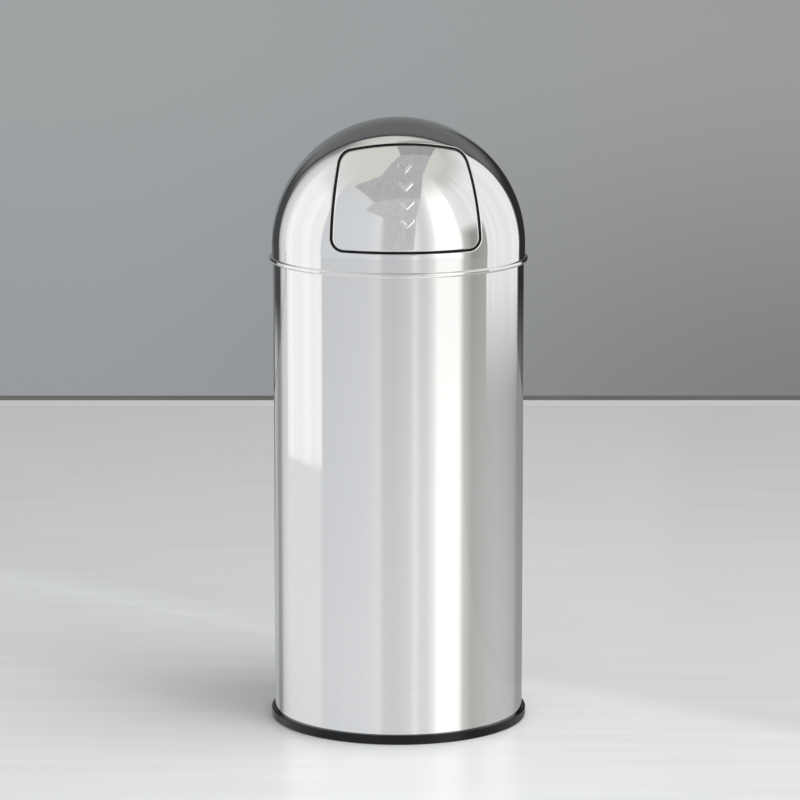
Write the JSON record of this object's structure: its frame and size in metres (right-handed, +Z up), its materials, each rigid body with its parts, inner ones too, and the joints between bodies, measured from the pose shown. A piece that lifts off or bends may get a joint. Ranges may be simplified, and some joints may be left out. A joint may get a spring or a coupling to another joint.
{
  "type": "push-flap dustbin",
  "caption": "Tall round polished-steel dustbin with a domed lift-off lid, a sprung push flap in the dome, a black base ring and a galvanised inner bucket with a bail.",
  "frame": {"origin": "on the floor at the centre of the base ring", "axes": "+Z up along the tube, the flap faces -Y, +X lies to the right of someone who looks at the flap"},
  "size_m": [0.3089, 0.309, 0.7285],
  "materials": {
    "polished_steel": "mirror-polished stainless steel sheet",
    "galvanised_steel": "galvanised sheet with a faint spangle",
    "zinc_plate": "bright zinc plate",
    "spring_steel": "drawn wire, lightly oiled",
    "black_ring": "black soft plastic with a dull sheen",
    "black_plastic": "black moulded plastic, fine texture",
    "white_plastic": "natural acetal"
  },
  "bodies": {
    "body": {"body_tube": "polished_steel", "base_pan": "galvanised_steel", "base_ring": "black_ring"},
    "lid": {"lid_dome": "polished_steel", "lid_collar": "galvanised_steel", "hinge_bracket_left": "galvanised_steel", "hinge_bracket_right": "galvanised_steel", "hinge_bush_left": "white_plastic", "hinge_bush_right": "white_plastic", "flap_spring_left": "spring_steel", "flap_spring_right": "spring_steel"},
    "flap": {"flap_panel": "polished_steel", "flap_backing": "black_plastic", "flap_studs": "spring_steel", "flap_nuts": "zinc_plate", "hinge_axle": "zinc_plate", "axle_clips": "spring_steel"},
    "bucket": {"bucket_wall": "galvanised_steel", "bucket_bottom": "galvanised_steel", "bucket_ear_left": "galvanised_steel", "bucket_ear_right": "galvanised_steel", "ear_rivets": "zinc_plate"},
    "bail": {"bail_wire": "zinc_plate", "bail_grip": "black_plastic"}
  },
  "joints": [
    {"name": "lid_lift", "type": "slide", "parent": "body", "child": "lid", "axis": [0, 0, 1], "range_m": [0, 0.8]},
    {"name": "bucket_lift", "type": "slide", "parent": "body", "child": "bucket", "axis": [0, 0, 1], "range_m": [0, 0.6]},
    {"name": "bail_swing", "type": "hinge", "parent": "bucket", "child": "bail", "pos_m": [0, 0, 0.5328], "axis": [1, 0, 0], "range_deg": [0, 180]},
    {"name": "flap_swing", "type": "hinge", "parent": "lid", "child": "flap", "pos_m": [0, -0.04203, 0.70634], "axis": [1, 0, 0], "range_deg": [0, 70], "stiffness_Nm_per_rad": 0.25, "springref_deg": -91.67, "deforming": ["flap_spring_left", "flap_spring_right"]}
  ],
  "couplings": [
    {"joint": "bucket_lift", "follows": "lid_lift", "ratio": 0.75}
  ]
}
